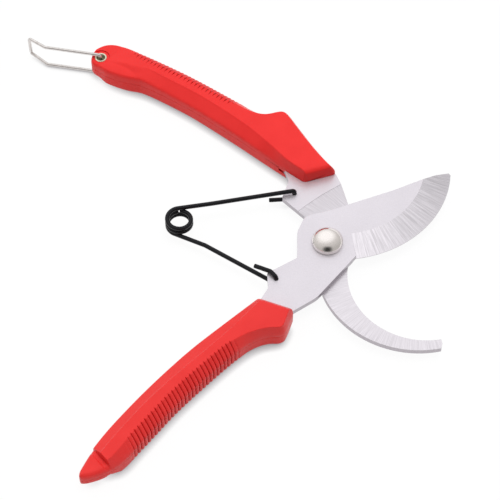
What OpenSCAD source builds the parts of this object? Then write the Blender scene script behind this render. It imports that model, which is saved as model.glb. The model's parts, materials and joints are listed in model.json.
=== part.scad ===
// Bypass pruning shears, lying open on a table.
// The pivot axis is Z and passes through the origin; Z = 0 is the table.
// Each half is drawn with its handle towards -X as when closed, then turned about the pivot.

/* [Opening] */
// Angle that the two halves stand apart at rest, over the way they are drawn
open_angle = 80; // [60:1:88]
// How far the opened pair is turned about the pivot as it lies
lie_turn = 1.5; // [-20:0.5:20]

/* [Plates] */
// Thickness of each steel plate
plate_t = 2.5; // [2:0.1:3]
// Depth that the counter blade is ground down where the cutting blade passes
ground_depth = 0.15; // [0.1:0.05:0.3]
// Distance from the pivot to the tip of the cutting blade
blade_reach = 65.6; // [62:0.2:68]
// Radius of the cutting edge
edge_r = 50; // [48:0.5:52]
// Width of the ground bevel behind the cutting edge
bevel_w = 11.5; // [8:0.5:13]
// Thickness left at the cutting edge
edge_land = 0.2; // [0.1:0.05:0.4]
// Radius of the hollow side of the hook
hook_in_r = 31.2; // [29:0.2:33]
// Radius of the outer side of the hook
hook_out_r = 40.5; // [39:0.5:42]
// Distance from the pivot to the tip of the hook
hook_reach = 66.5; // [60:0.5:70]

/* [Pivot] */
// Diameter of the domed head
head_d = 13; // [11:0.5:16]
// Height of the domed head
head_h = 5.6; // [4:0.1:6]
// Height of the straight rim under the dome
head_rim = 2.2; // [1:0.1:2.5]
// Diameter of the shank that the blades turn on
shank_d = 8; // [7:0.5:9]
// Diameter of the threaded end
thread_d = 6; // [5:0.5:6.5]
// Width of the nut across its flats
nut_flats = 10; // [9:0.5:13]
// Outer diameter of the washer
washer_d = 12.5; // [11:0.5:14]
// Thickness of the washer
washer_t = 0.8; // [0.5:0.1:1.2]
// Radial running clearance on the shank
run_fit = 0.05; // [0.03:0.01:0.1]

/* [Grips] */
// Thickness of a grip
grip_t = 13; // [12:0.5:15]
// Distance from the pivot to the far end of the blade grip
blade_grip_reach = 146; // [143:0.2:150]
// Distance from the pivot to the far end of the hook grip
hook_grip_reach = 146.6; // [144:0.2:150]
// Spacing of the ribs
rib_pitch = 2; // [1.6:0.1:2.4]
// Depth of the grooves between the ribs
rib_depth = 0.6; // [0.3:0.1:0.8]
// Radius of the lower edges
bottom_r = 2; // [1:0.5:3]
// Thickness taken off both faces at the grip ends, where the bail swings
end_cut = 2; // [1.5:0.1:2.4]
// Extra thickness taken off both faces at the end of the blade grip
blade_end_cut = 0.7; // [0.6:0.1:1]
// Depth of the catch groove in the blade grip, below the end face
catch_depth = 0.4; // [0.3:0.1:0.6]
// Width of the catch groove
catch_w = 2; // [1.8:0.1:2.6]
// Clearance between a tang and the grip around it
tang_fit = 0.1; // [0.05:0.05:0.2]
// Thread diameter of the grip screws
screw_d = 3; // [2.5:0.1:3.5]
// Head diameter of the grip screws
screw_head_d = 5.6; // [5:0.1:6.5]
// Height of the grip screw heads
screw_head_h = 2; // [1.5:0.1:2.4]
// Length of the grip screws under the head
screw_len = 8; // [7:0.5:8.5]

/* [Spring] */
// Wire diameter of the spring
spring_wire = 1.9; // [1.4:0.1:2]
// Outer diameter of the coil
coil_d = 12; // [10:0.5:14]
// Distance from each spring hole to the centre of the coil
leg_len = 51.5; // [49:0.5:55]
// Full extra turns of the coil
coil_turns = 2; // [1:1:2]
// Gap between neighbouring turns
turn_gap = 0.05; // [0.03:0.01:0.1]
// Gap between the two ends that meet in the coil
coil_gap = 0.3; // [0.25:0.05:0.4]
// Length of the tail beyond each spring hole
tail_len = 11; // [8:0.5:13]

/* [Bail] */
// Wire diameter of the bail
bail_wire = 1.5; // [1.2:0.1:1.6]
// Distance from the eyelet to the kink in the bail
bail_leg = 26; // [24:0.5:28]
// Length of the bail beyond its kink
bail_tip = 10; // [8:0.5:12]
// Angle of the kink
bail_kink = 28; // [15:1:40]
// Direction of the bail at rest, in the frame of the hook grip
bail_swing = 208; // [195:1:220]
// How much nearer each leg comes to the middle beyond the kink
bail_taper = 0.9; // [0.5:0.1:1]
// Outer diameter of the eyelet flange
eyelet_d = 5.4; // [5:0.1:6]
// Bore of the eyelet
eyelet_bore = 3.8; // [3.4:0.1:4]
// Wall of the eyelet tube
eyelet_wall = 0.35; // [0.25:0.05:0.5]
// Height that each eyelet flange stands proud
flange_h = 0.4; // [0.3:0.1:0.5]

/* [Hidden] */
$fn = 64;

tiny = 0.01;
play = 0.05;                       // axial play of the turning parts
mid_z = grip_t / 2;                // the plane in which the two plates meet
blade_turn = lie_turn + open_angle / 2;
hook_turn = lie_turn - open_angle / 2;
blade_top = mid_z + plate_t;
hook_under = mid_z - plate_t;

steel = "#e2dde3";
polished = "#d9d2cf";
blade_red = "#dc2b28";
hook_red = "#e03533";
wire_black = "#17171b";
wire_silver = "#cbc4c4";

// ---------- curves ----------

function unit(v) = v / norm(v);
function turned(p, a) = [p[0] * cos(a) - p[1] * sin(a), p[0] * sin(a) + p[1] * cos(a)];
function polar(r, a) = [r * cos(a), r * sin(a)];

// Corner b of a line a-b-c, rounded with radius r
function rounded(a, b, c, r, steps = 6) =
    let (u = unit(a - b), v = unit(c - b))
    let (half = acos(u * v) / 2, m = unit(u + v), o = b + m * r / sin(half))
    let (s = o + polar(1, 0), t0 = b + u * r / tan(half), t1 = b + v * r / tan(half))
    let (a0 = atan2(t0[1] - o[1], t0[0] - o[0]), a1 = atan2(t1[1] - o[1], t1[0] - o[0]))
    let (turn = a1 - a0, way = turn > 180 ? turn - 360 : turn < -180 ? turn + 360 : turn)
    [for (i = [0:steps]) o + polar(r, a0 + way * i / steps)];

// Closed outline through corners [x, y, radius]; radius 0 keeps the corner sharp
function outline(corners) =
    let (n = len(corners))
    [for (i = [0:n - 1])
        let (p = corners[i], q = corners[(i + n - 1) % n], s = corners[(i + 1) % n])
        let (b = [p[0], p[1]])
        each p[2] == 0 ? [b] : rounded([q[0], q[1]], b, [s[0], s[1]], p[2])];

// Height at x of a smooth line through points [x, y], which run from low to high x
function slope(line, i) =
    let (a = line[max(i - 1, 0)], b = line[min(i + 1, len(line) - 1)])
    (b[1] - a[1]) / (b[0] - a[0]);
function piece_at(line, x, i = 0) =
    i >= len(line) - 2 || x < line[i + 1][0] ? i : piece_at(line, x, i + 1);
function height(line, x) =
    let (i = piece_at(line, x), a = line[i], b = line[i + 1], w = b[0] - a[0])
    let (t = min(max((x - a[0]) / w, 0), 1))
    a[1] * (1 + 2 * t) * pow(1 - t, 2) + b[1] * t * t * (3 - 2 * t)
    + w * slope(line, i) * t * pow(1 - t, 2) - w * slope(line, i + 1) * t * t * (1 - t);

// Round bar along a path of points
module bar(path, d, sides = 10) {
    last = len(path) - 1;
    t = [for (i = [0:last]) unit(path[min(i + 1, last)] - path[max(i - 1, 0)])];
    start = unit(cross(t[0], [0.3, 0.5, 0.8]));
    n = [for (i = 0, m = start; i <= last;
              i = i + 1, m = i > last ? m : unit(m - (m * t[i]) * t[i])) m];
    points = [for (i = [0:last]) for (k = [0:sides - 1])
        path[i] + d / 2 * (n[i] * cos(360 * k / sides) + cross(t[i], n[i]) * sin(360 * k / sides))];
    wall = [for (i = [0:last - 1]) for (k = [0:sides - 1])
        let (a = i * sides + k, b = i * sides + (k + 1) % sides)
        [a, a + sides, b + sides, b]];
    ends = [[for (k = [0:sides - 1]) k], [for (k = [sides - 1:-1:0]) last * sides + k]];
    polyhedron(points, concat(wall, ends));
}

// Smooth path through a few points: a quarter-turn of radius r at each inner point
function bend(path, r, steps = 5) =
    [for (i = [0:len(path) - 1])
        each i == 0 || i == len(path) - 1 ? [path[i]] :
            let (b = path[i], u = unit(path[i - 1] - b), v = unit(path[i + 1] - b))
            let (half = acos(max(min(u * v, 1), -1)) / 2)
            let (m = unit(u + v), o = b + m * r / sin(half))
            let (p = b + u * r / tan(half), sweep = 180 - 2 * half)
            let (e = unit(p - o))
            [for (k = [0:steps]) o + r * (e * cos(sweep * k / steps) - u * sin(sweep * k / steps))]];

// ---------- steel plates ----------

edge_c = [32, 28.8];               // centre of the cutting edge and of its grind
heel_angle = 236.5;                // where the grind ends at the heel
grind_sweep = 100;                 // angle that the grind runs over, past the tip
hook_in_c = [40.4, 12.2];
hook_out_c = [35, 13.7];
hub_r = 12.6;                      // hidden round part of the counter blade
spine_start = [11.6, 11.8];
spine = [[60, -4.5], [54.6, -3.1], [40.6, 1.1]];
tip_y = -7;
pin_d = spring_wire + 0.02;        // spring wire where it turns in its hole
spring_hole_d = pin_d + 2 * run_fit;
blade_hole = [-28.4, 0.6];
hook_hole = [-27.6, 13.3];
screw_hole_d = screw_d + 0.4;
blade_screws = [[-58, -8.8], [-108, -12.9]];
hook_screws = [[-62, 29.5], [-112, 26]];

// The blunt tip of the hook, as points [from its reach, y]
hook_tip = [[6, -45], [0.2, -13], [0, -11.4], [-0.9, -9.5], [-2.4, -8.2]];

// The tang, heel and shoulder of each plate, with the radius of each corner
blade_neck = [
    [12, 11.65, 0], [2.2, 16.4, 6], [-5.8, 12.4, 6], [-14.8, 2.6, 0.3], [-29.4, 5.2, 1.2],
    [-33.8, -0.6, 5], [-39.6, -2.6, 0], [-46, -5, 0], [-60, -4.8, 20], [-95, -7.5, 20],
    [-121, -12, 3], [-121, -18.5, 3], [-95, -15.2, 20], [-60, -12.8, 20], [-46, -13.6, 0],
    [-38, -15, 0], [-33.5, -15.9, 0], [-22, -17.4, 12], [4.2, -12.9, 0], [12, -5, 0]];
hook_neck = [
    [4, 15.3, 0], [-6.2, 23.2, 10], [-15, 30, 10], [-20, 32.8, 0], [-27, 33.8, 5], [-60, 34, 20],
    [-108, 31, 20], [-122, 28, 3], [-122, 21.5, 3], [-108, 22, 20], [-60, 25, 20],
    [-45, 23.4, 4], [-38.2, 20.4, 2], [-33.6, 17, 3], [-30.4, 8.1, 1], [-16.7, 6.3, 0.4],
    [-10.5, -4, 0], [0, -6, 0], [10, 4, 0]];

module drill(spot, d, from = -1, to = 20) {
    translate([spot[0], spot[1], from]) cylinder(d = d, h = to - from);
}

module blade_outline() {
    polygon(outline(blade_neck));
    intersection() {
        polygon(concat([[3, -40], [blade_reach, -40], [blade_reach, tip_y]], spine,
                       [spine_start, [3, 12]]));
        translate(edge_c) circle(edge_r, $fn = 128);
    }
}

module edge_grind() {
    fall = plate_t - edge_land;
    over = 6;
    translate([edge_c[0], edge_c[1], blade_top + play])
        rotate([0, 0, heel_angle])
            rotate_extrude(angle = grind_sweep, $fn = 128)
                polygon([[edge_r - bevel_w, 0], [edge_r + over, -fall * (1 + over / bevel_w)],
                         [edge_r + over, 1], [edge_r - bevel_w, 1]]);
}

module cutting_blade() {
    color(steel) rotate([0, 0, blade_turn]) difference() {
        translate([0, 0, mid_z + play]) linear_extrude(plate_t) blade_outline();
        edge_grind();
        translate([0, 0, -1]) cylinder(d = shank_d + 2 * run_fit, h = grip_t + 2);
        drill(blade_hole, spring_hole_d);
        for (spot = blade_screws) drill(spot, screw_hole_d);
    }
}

module hook_outline() {
    polygon(outline(hook_neck));
    circle(hub_r);
    difference() {
        intersection() {
            translate(hook_out_c) circle(hook_out_r, $fn = 128);
            polygon(concat([[2, -45]], [for (p = hook_tip) [hook_reach + p[0], p[1]]],
                           [[16, -2], [2, 2]]));
        }
        translate(hook_in_c) circle(hook_in_r, $fn = 128);
    }
}

// The stretch of the counter blade that is ground down
ground = [[-21, 5], [-19.3, 14.3], [-17.9, 20.5], [-14.6, 31], [8, 20], [14, 4], [0, 0]];

module counter_blade() {
    color(steel) rotate([0, 0, hook_turn]) difference() {
        translate([0, 0, hook_under]) linear_extrude(plate_t) hook_outline();
        difference() {
            translate([0, 0, mid_z - ground_depth]) linear_extrude(1) polygon(ground);
            cylinder(r = hub_r, h = grip_t);
        }
        translate([0, 0, -1]) cylinder(d = shank_d + 2 * run_fit, h = grip_t + 2);
        drill(hook_hole, spring_hole_d);
        for (spot = hook_screws) drill(spot, screw_hole_d);
    }
}

// ---------- pivot ----------

nut_top = hook_under - washer_t;

module pivot_bolt() {
    seat = blade_top + 2 * play;
    dome = [for (a = [0:10:90]) [head_d / 2 * cos(a), head_rim + (head_h - head_rim) * sin(a)]];
    color(polished) {
        translate([0, 0, seat]) rotate_extrude() polygon(concat([[0, 0], [head_d / 2, 0]], dome));
        translate([0, 0, hook_under]) cylinder(d = shank_d, h = seat - hook_under + tiny);
        cylinder(d = thread_d, h = grip_t / 2);
    }
}

module pivot_washer() {
    color(polished) translate([0, 0, nut_top]) difference() {
        cylinder(d = washer_d, h = washer_t);
        translate([0, 0, -1]) cylinder(d = thread_d + 4 * run_fit, h = washer_t + 2);
    }
}

module pivot_nut() {
    corner_d = nut_flats / cos(30);
    bevel = 0.5;
    color(polished) difference() {
        intersection() {
            cylinder(d = corner_d, h = nut_top, $fn = 6);
            rotate_extrude() polygon([
                [0, 0], [nut_flats / 2, 0], [corner_d / 2, bevel],
                [corner_d / 2, nut_top - bevel], [nut_flats / 2, nut_top], [0, nut_top]]);
        }
        translate([0, 0, -1]) cylinder(d = thread_d + 2 * run_fit, h = nut_top + 2);
    }
}

// ---------- grips ----------
// Lines along a grip, each as points [x, value] from its far end to its nose. The inner
// side faces the other grip; a crease is where the flat top meets a sloping side. The drop is
// how far the inner slope falls, and a ledge may run along its foot.

hook_inner = [[-147, 11.1], [-144.9, 11.2], [-142.9, 11.7], [-140.3, 12.4], [-135.3, 12.5],
              [-132.2, 13.1], [-129.3, 13.9], [-126.5, 14.8], [-123.8, 15.9], [-121.3, 17.2],
              [-118.6, 18.2], [-112.3, 19.3], [-99.5, 20.7], [-89.4, 21.3], [-65, 21.2],
              [-54.9, 20.9], [-41.2, 20.6], [-16, 20.5]];
hook_outer = [[-147, 27.2], [-143, 28.2], [-140, 29.2], [-136, 30.6], [-130, 31.8], [-124, 32.8],
              [-112, 34.4], [-104, 35.3], [-91, 36.2], [-76, 36.9], [-69, 37], [-65.2, 37.8],
              [-62, 39.6], [-60.2, 43.2], [-58.4, 46], [-56, 45.6], [-47, 41.7], [-34, 36.8],
              [-24, 33.8], [-16, 32.2]];
hook_ledge = [[-147, 3], [-140, 4.2], [-131.5, 5.8], [-124.8, 3.8], [-119.3, 0.4], [-112, 0.1],
              [-16, 0.1]];
hook_crease_in = [[-147, 5], [-140, 8.5], [-136, 9.6], [-132, 9.5], [-128, 8.6], [-123, 7],
                  [-117.2, 5.9], [-109, 5.3], [-79.6, 5.3], [-62.2, 4.8], [-49.6, 3.4],
                  [-39.8, 1.7], [-33.7, 1.4], [-16, 1.2]];
hook_crease_out = [[-147, 3.2], [-136, 3.6], [-128, 4.5], [-76, 4.4], [-68, 3.8], [-65.2, 4.6],
                   [-62.6, 8], [-61, 7], [-59.5, 4.4], [-57.5, 3.6], [-16, 3.2]];
hook_drop = [[-147, 2], [-120, 2], [-112, 2.8], [-100, 3.5], [-70, 3.6], [-52, 4.2],
             [-41, 5.2], [-16, 5.6]];
hook_ribs = [-134, 30];

blade_inner = [[-146, -14.6], [-144.3, -14.3], [-142, -14], [-139, -13.2], [-136, -12.1],
               [-133, -11.1], [-127, -9.5], [-120.6, -8.1], [-106.9, -5.7], [-92.4, -3.8],
               [-77, -2.5], [-60, -2.4], [-30, -2.3]];
blade_outer = [[-146, -20.6], [-142, -21.2], [-139, -21.9], [-135.6, -22.6], [-131.9, -23],
               [-127.7, -22.9], [-118.3, -21.4], [-108.6, -19.7], [-99, -18], [-89.7, -16.9],
               [-80.5, -16.1], [-71.3, -15.4], [-62.4, -15], [-58, -15], [-54.3, -15.6],
               [-50.8, -16.7], [-47.8, -18.3], [-45.6, -20.2], [-43.4, -21], [-41.5, -20.4],
               [-37.8, -18.4], [-30, -13.8]];
blade_ledge = [[-146, 0.1], [-30, 0.1]];
blade_crease_in = [[-146, 2], [-139, 3.5], [-134.9, 4.9], [-105, 5.1], [-78.5, 5.8],
                   [-67.4, 5.4], [-55, 4.2], [-42, 2.4], [-30, 2.2]];
blade_crease_out = [[-146, 2], [-134, 2.2], [-128, 3.2], [-121.8, 3.6], [-106, 3.7], [-67, 3.4],
                    [-59, 2.3], [-52, 1.3], [-46, 1], [-30, 1.2]];
blade_drop = [[-146, 3], [-80, 3], [-60, 2.4], [-30, 2.4]];
blade_ribs = [-126, 33];

hook_nose = [-27.7, 21];
hook_nose_angle = 56.4;
blade_nose = [-40.2, -1.8];
blade_nose_angle = -62.7;
hook_draw_end = -16;               // where the loft ends, beyond the nose cut
blade_draw_end = -30;
hook_lean = 8;                     // degrees by which each nose leans back towards the faces
blade_lean = 36;
nose_lean_from = 4;                // distance from a grip face at which its nose starts to lean
hook_round = 6.5;                  // length over which the end of each grip rounds off
blade_round = 8;
out_drop = 4.5;                    // how far the outer side falls before it stands upright
out_high = [0.55, 0.42];           // two points on the way down, as shares of the crease and fall
out_low = [0.2, 0.75];
out_foot = 0.8;                    // how much lower the upright side begins
edge_share = 0.3;                  // place of the middle point of a lower edge, in its radius
groove = [0.55, 0.95];             // start and end of a groove, as shares of the rib spacing
groove_wall = 0.05;                // half the run of a groove's walls, as such a share
station_gap = 1.5;                 // distance between cross-sections where nothing changes
end_angles = [10, 25, 40, 55, 72, 90]; // cross-sections over the rounded end
over = 1;                          // how far a half grip is drawn past the parting plane
span = 130;                        // size of a cutting block, wider than any grip
land_end = hook_grip_reach - 8.6;  // distance from the pivot at which the flat end land stops
land_ramp = 20;                    // length of the ramp from the end land to the full face
land_top = grip_t - end_cut;
catch_at = blade_grip_reach - 11.3; // the same to the step with the catch groove
slot_at = [-42, 18];               // corner and size of the slot that shows beside the tang
slot_size = [6, 5];
screw_seat = screw_head_h + 0.4;   // depth of the screw heads' recess
screw_fit = 0.05;                  // radial clearance around the grip screws
screw_key = 2.5;                   // width of the hexagon socket in the screw heads
eyelet_x = -hook_grip_reach + 4.8;
eyelet_inset = 5.16;               // distance from the inner side of the grip to the eyelet
eyelet_c = [eyelet_x, height(hook_inner, eyelet_x) + eyelet_inset];
eyelet_tube_d = eyelet_bore + 2 * eyelet_wall;
eyelet_seat_d = 8.2;               // shallow recess around each flange of the eyelet

function rib_cut(ribs, x) =
    let (u = (x - ribs[0]) / rib_pitch, part = u - floor(u + tiny))
    u < -tiny || u > ribs[1] ? 0 : part > groove[0] && part < groove[1] ? rib_depth : 0;
function rib_stations(start) =
    [for (f = [0, groove[0] - groove_wall, groove[0] + groove_wall, groove[1] - groove_wall])
        start + rib_pitch * f];
function stations(reach, round, ribs, nose) = concat(
    [for (a = end_angles) -reach + round * (1 - cos(a))],
    [for (x = [-reach + round + station_gap:station_gap:ribs[0] - 1]) x],
    [for (i = [0:ribs[1] - 1]) each rib_stations(ribs[0] + rib_pitch * i)],
    [for (x = [ribs[0] + rib_pitch * ribs[1]:station_gap:nose]) x]);
function end_factor(reach, round, x) =
    let (u = min((x + reach) / round, 1)) sqrt(max(1 - pow(1 - u, 2), 0.01));

// Half of a cross-section at x, from the inner side to the outer: the top half if up is 1
function side(lines, reach, round, ribs, x, up) =
    let (a = height(lines[0], x), b = height(lines[1], x), f = end_factor(reach, round, x))
    let (s = sign(b - a), y0 = (a + b) / 2 - f * (b - a) / 2)
    let (y1 = (a + b) / 2 + f * (b - a) / 2 - s * rib_cut(ribs, x))
    let (ci = f * height(lines[2], x), co = f * height(lines[3], x), drop = height(lines[4], x))
    let (rb = f * bottom_r, ledge = f * height(lines[5], x))
    let (top = up == 1 ?
        [[y0, grip_t - drop], [y0 + s * ledge, grip_t - drop],
         [y0 + s * ci, grip_t], [y1 - s * co, grip_t],
         [y1 - s * co * out_high[0], grip_t - out_drop * out_high[1]],
         [y1 - s * co * out_low[0], grip_t - out_drop * out_low[1]],
         [y1, grip_t - out_drop - out_foot]] :
        [[y0, bottom_r], [y0 + s * rb * edge_share, bottom_r * edge_share], [y0 + s * rb, 0],
         [y1 - s * rb, 0], [y1 - s * rb * edge_share, bottom_r * edge_share], [y1, bottom_r]])
    let (base = up == 1 ? mid_z - over : mid_z + over)
    [for (q = concat([[y0, base]], top, [[y1, base]])) [x, q[0], q[1]]];

module half_grip(lines, reach, round, ribs, nose, up) {
    xs = stations(reach, round, ribs, nose);
    rings = [for (x = xs) side(lines, reach, round, ribs, x, up)];
    n = len(rings[0]);
    last = len(rings) - 1;
    points = [for (ring = rings) each ring];
    wall = [for (i = [0:last - 1]) for (k = [0:n - 1])
        let (a = i * n + k, b = i * n + (k + 1) % n)
        each [[a, b, b + n], [a, b + n, a + n]]];
    caps = [[for (k = [n - 1:-1:0]) k], [for (k = [0:n - 1]) last * n + k]];
    faces = concat(wall, caps);
    flip = (lines[1][0][1] > lines[0][0][1]) != (up == 1);
    difference() {
        polyhedron(points, flip ? [for (f = faces) [for (k = [len(f) - 1:-1:0]) f[k]]] : faces);
        facing(up) translate([-reach - over, -span / 2, mid_z]) cube([reach, span, 2 * over]);
    }
}

// Draws its children on the underside (up = 0) or mirrored onto the upper side (up = 1)
module facing(up) {
    if (up == 1)
        translate([0, 0, grip_t]) mirror([0, 0, 1]) children();
    else
        children();
}

// What is taken off one face of a grip end, so that the bail can swing over it
module end_relief(reach, up) {
    far = -reach - 2;
    facing(up) rotate([90, 0, 0]) linear_extrude(span, center = true)
        polygon([[far, end_cut], [-land_end, end_cut], [-land_end + land_ramp, 0],
                 [-land_end + land_ramp, -1], [far, -1]]);
}

// The blade grip ends in a step down with a groove along it, where the bail catches
module catch_step(up) {
    far = -blade_grip_reach - 2;
    depth = end_cut + blade_end_cut;
    facing(up) {
        translate([-catch_at - catch_w, -span / 2, -1])
            cube([catch_w, span, depth + catch_depth + 1]);
        translate([far, -span / 2, -1]) cube([-catch_at - far, span, depth + 1]);
    }
}

// Everything beyond a line through a corner at an angle, leaning back by lean above a height
module nose_cut(corner, angle, lean, up) {
    facing(up) translate([corner[0], corner[1], 0]) rotate([0, 0, angle]) {
        translate([-span / 2, 0, -1]) cube([span, span / 2, grip_t + 2]);
        translate([0, 0, nose_lean_from]) rotate([-lean, 0, 0])
            translate([-span / 2, 0, -2 * grip_t]) cube([span, span / 2, 2 * grip_t]);
    }
}

module tang_pocket(neck, z) {
    translate([0, 0, z - tang_fit]) linear_extrude(plate_t + 2 * tang_fit)
        offset(delta = tang_fit) polygon(outline(neck));
}

hook_lines = [hook_inner, hook_outer, hook_crease_in, hook_crease_out, hook_drop, hook_ledge];
blade_lines = [blade_inner, blade_outer, blade_crease_in, blade_crease_out, blade_drop,
               blade_ledge];

module screw_hole(spot) {
    drill(spot, screw_d + 2 * screw_fit, -1, screw_seat + screw_len + 0.2);
    drill(spot, screw_head_d + 4 * screw_fit, -1, screw_seat);
}

module screw(spot) {
    translate([spot[0], spot[1], 0]) difference() {
        union() {
            translate([0, 0, screw_seat - screw_head_h]) cylinder(d = screw_head_d, h = screw_head_h);
            translate([0, 0, screw_seat - tiny]) cylinder(d = screw_d, h = screw_len + tiny);
        }
        translate([0, 0, -1]) cylinder(d = screw_key / cos(30), h = screw_seat, $fn = 6);
    }
}

module hook_grip(up) {
    color(hook_red) rotate([0, 0, hook_turn]) difference() {
        half_grip(hook_lines, hook_grip_reach, hook_round, hook_ribs, hook_draw_end, up);
        end_relief(hook_grip_reach, up);
        nose_cut(hook_nose, hook_nose_angle - 180, hook_lean, up);
        if (up == 0) {
            tang_pocket(hook_neck, hook_under);
            translate([slot_at[0], slot_at[1], hook_under - tang_fit])
                cube([slot_size[0], slot_size[1], plate_t + 1]);
        }
        for (spot = hook_screws) screw_hole(spot);
        drill(eyelet_c, eyelet_tube_d + 2 * play);
        drill(eyelet_c, eyelet_seat_d, up == 1 ? land_top - flange_h : -1,
              up == 1 ? 20 : end_cut + flange_h);
    }
}

module blade_grip(up) {
    color(blade_red) rotate([0, 0, blade_turn]) difference() {
        half_grip(blade_lines, blade_grip_reach, blade_round, blade_ribs, blade_draw_end, up);
        catch_step(up);
        nose_cut(blade_nose, blade_nose_angle, blade_lean, up);
        if (up == 1) tang_pocket(blade_neck, mid_z + play);
        for (spot = blade_screws) screw_hole(spot);
    }
}

module hook_grip_upper() { hook_grip(1); }
module hook_grip_lower() { hook_grip(0); }
module blade_grip_upper() { blade_grip(1); }
module blade_grip_lower() { blade_grip(0); }
module hook_screw_front() { color(polished) rotate([0, 0, hook_turn]) screw(hook_screws[0]); }
module hook_screw_rear() { color(polished) rotate([0, 0, hook_turn]) screw(hook_screws[1]); }
module blade_screw_front() { color(polished) rotate([0, 0, blade_turn]) screw(blade_screws[0]); }
module blade_screw_rear() { color(polished) rotate([0, 0, blade_turn]) screw(blade_screws[1]); }

// ---------- spring ----------
// One wire in the real object. It is parted inside its coil, so that each half can turn
// with the plate that it hooks into.

pitch = spring_wire + turn_gap;
coil_r = (coil_d - spring_wire) / 2;
coil_top = mid_z + 2.5;            // height of the wire where the coil begins
part_turn = 350;                   // turn of the coil at which it is parted
part_gap = 3;                      // half the angle left open at the parting
wind_up = 42;                      // how far closing the pair winds the coil up
step_down = spring_wire + coil_gap - pitch * (1 - wind_up / 360);
leg_gap = 0.3;                     // clearance between the wire and the plate faces
leg_rise = 0.8;                    // how much higher the hook leg stands
coil_step = 12;                    // angle between two points of the coil
wire_bend = spring_wire / 2 + leg_gap - play;
kink_at = 0.69;                    // where each leg kinks, as a share of its length
hook_kink = 3.5;                   // how far each kink lies off the line to the coil centre
blade_kink = 2.55;
hook_tail = 184;                   // directions of the tails: the blade leg's tail has an elbow
blade_tail = [130, 157];

hook_pin = turned(hook_hole, hook_turn);
blade_pin = turned(blade_hole, blade_turn);
pin_gap = blade_pin - hook_pin;
coil_c = (hook_pin + blade_pin) / 2
    + [pin_gap[1], -pin_gap[0]] / norm(pin_gap) * sqrt(leg_len * leg_len - pin_gap * pin_gap / 4);

// Kink of a leg that starts at pin and passes the coil centre on one side (way = 1 or -1)
function kink(pin, off, way) =
    let (u = unit(coil_c - pin)) pin + u * leg_len * kink_at + way * off * [u[1], -u[0]];
// Direction, from the coil centre, of the point where a line from p touches the coil
function touch(p, way) =
    let (d = p - coil_c) atan2(d[1], d[0]) + way * acos(coil_r / norm(d));

hook_bend = kink(hook_pin, hook_kink, 1);
blade_bend = kink(blade_pin, blade_kink, -1);
coil_from = touch(hook_bend, 1);
coil_to = touch(blade_bend, -1) + 360 * (coil_turns + 1);
coil_drop = (coil_to - coil_from) / 360 * pitch;

function coil_point(turn, down) =
    let (p = coil_c + polar(coil_r, coil_from + turn))
    [p[0], p[1], coil_top - turn / 360 * pitch - down];
function coil_part(from, to, down) =
    let (steps = ceil((to - from) / coil_step))
    [for (i = [0:steps]) coil_point(from + (to - from) * i / steps, down)];

module spring_pin(p, z) {
    translate([p[0], p[1], z - play]) cylinder(d = pin_d, h = plate_t + 2 * play);
}

module spring_hook_leg() {
    leg_z = mid_z + leg_gap + leg_rise + spring_wire / 2;
    tail_z = hook_under - leg_gap - spring_wire / 2;
    tail = hook_pin + polar(tail_len, hook_tail);
    leg = bend([[tail[0], tail[1], tail_z], [hook_pin[0], hook_pin[1], tail_z],
                [hook_pin[0], hook_pin[1], leg_z], [hook_bend[0], hook_bend[1], leg_z],
                coil_point(0, 0)], wire_bend);
    color(wire_black) {
        bar(concat(leg, coil_part(coil_step, part_turn - part_gap, 0)), spring_wire);
        spring_pin(hook_pin, hook_under);
    }
}

module spring_blade_leg() {
    leg_z = mid_z + play - leg_gap - spring_wire / 2;
    tail_z = blade_top + play + leg_gap + spring_wire / 2;
    elbow = blade_pin + polar(tail_len / 3, blade_tail[0]);
    tail = elbow + polar(tail_len * 2 / 3, blade_tail[1]);
    last = coil_to - coil_from;
    leg = bend([[tail[0], tail[1], tail_z], [elbow[0], elbow[1], tail_z],
                [blade_pin[0], blade_pin[1], tail_z], [blade_pin[0], blade_pin[1], leg_z],
                [blade_bend[0], blade_bend[1], leg_z], coil_point(last, step_down)], wire_bend);
    coil = coil_part(part_turn + part_gap, last - coil_step, step_down);
    color(wire_black) {
        bar(concat(leg, [for (i = [len(coil) - 1:-1:0]) coil[i]]), spring_wire);
        spring_pin(blade_pin, mid_z + play);
    }
}

// ---------- eyelet and bail ----------

module bail_eyelet() {
    color(wire_silver) rotate([0, 0, hook_turn]) translate([eyelet_c[0], eyelet_c[1], 0])
        difference() {
            union() {
                translate([0, 0, land_top - flange_h]) cylinder(d = eyelet_d, h = flange_h);
                translate([0, 0, end_cut]) cylinder(d = eyelet_tube_d, h = land_top - end_cut - tiny);
            }
            translate([0, 0, -1]) cylinder(d = eyelet_bore, h = grip_t + 2);
        }
}

module eyelet_back_ring() {
    color(wire_silver) rotate([0, 0, hook_turn]) translate([eyelet_c[0], eyelet_c[1], end_cut])
        difference() {
            cylinder(d = eyelet_d, h = flange_h);
            translate([0, 0, -1]) cylinder(d = eyelet_tube_d + play, h = flange_h + 2);
        }
}

butt_gap = 0.1;                    // where the two ends of the bail wire meet

module lock_bail() {
    low = bail_wire / 2;
    high = grip_t - bail_wire / 2;
    elbow = eyelet_c + polar(bail_leg, bail_swing);
    tip = elbow + polar(bail_tip, bail_swing - bail_kink);
    low_tip = low + bail_taper;
    path = bend([[tip[0], tip[1], low_tip], [elbow[0], elbow[1], low],
                 [eyelet_c[0], eyelet_c[1], low], [eyelet_c[0], eyelet_c[1], high],
                 [elbow[0], elbow[1], high], [tip[0], tip[1], high - bail_taper],
                 [tip[0], tip[1], low_tip + bail_wire / 2 + butt_gap]], bail_wire);
    color(wire_silver) rotate([0, 0, hook_turn]) bar(path, bail_wire, 12);
}

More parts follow.
